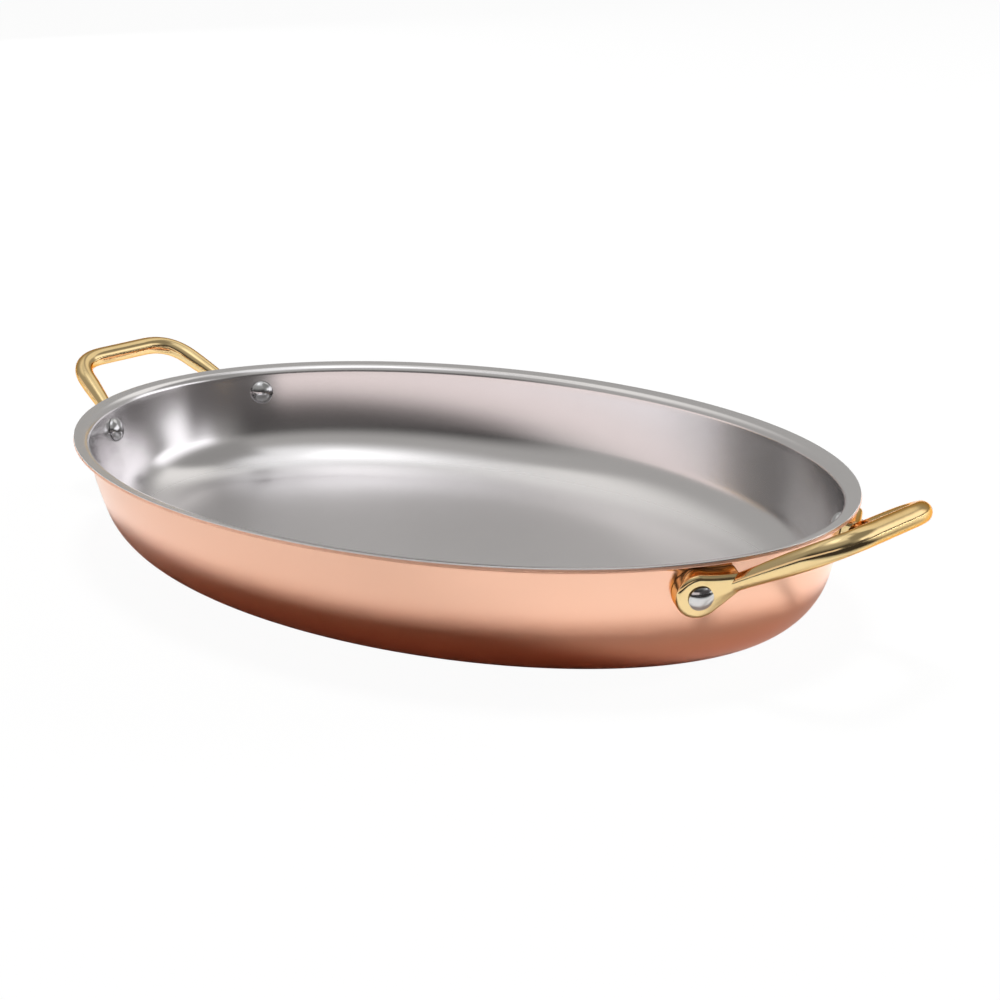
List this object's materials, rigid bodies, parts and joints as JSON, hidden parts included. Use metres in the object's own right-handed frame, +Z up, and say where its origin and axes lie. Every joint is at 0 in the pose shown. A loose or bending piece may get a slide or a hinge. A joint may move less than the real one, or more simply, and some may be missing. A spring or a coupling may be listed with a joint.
{
  "type": "oval serving dish",
  "caption": "Shallow oval copper serving dish with a flared lip, a bonded steel lining and cast brass loop handles riveted to its ends, for oven and table.",
  "frame": {"origin": "middle of the flat base, on the surface that the dish stands on", "axes": "+X along the dish towards the right-hand handle, +Y across it towards the back, +Z up"},
  "size_m": [0.423, 0.238, 0.0601],
  "materials": {
    "copper": "satin polished copper",
    "lining_steel": "fine brushed stainless steel",
    "handle_brass": "polished cast brass",
    "rivet_steel": "polished stainless steel"
  },
  "bodies": {
    "root": {"copper_shell": "copper", "steel_lining": "lining_steel", "handle_right": "handle_brass", "handle_left": "handle_brass", "rivet_right_front": "rivet_steel", "rivet_right_back": "rivet_steel", "rivet_left_back": "rivet_steel", "rivet_left_front": "rivet_steel"}
  },
  "joints": []
}
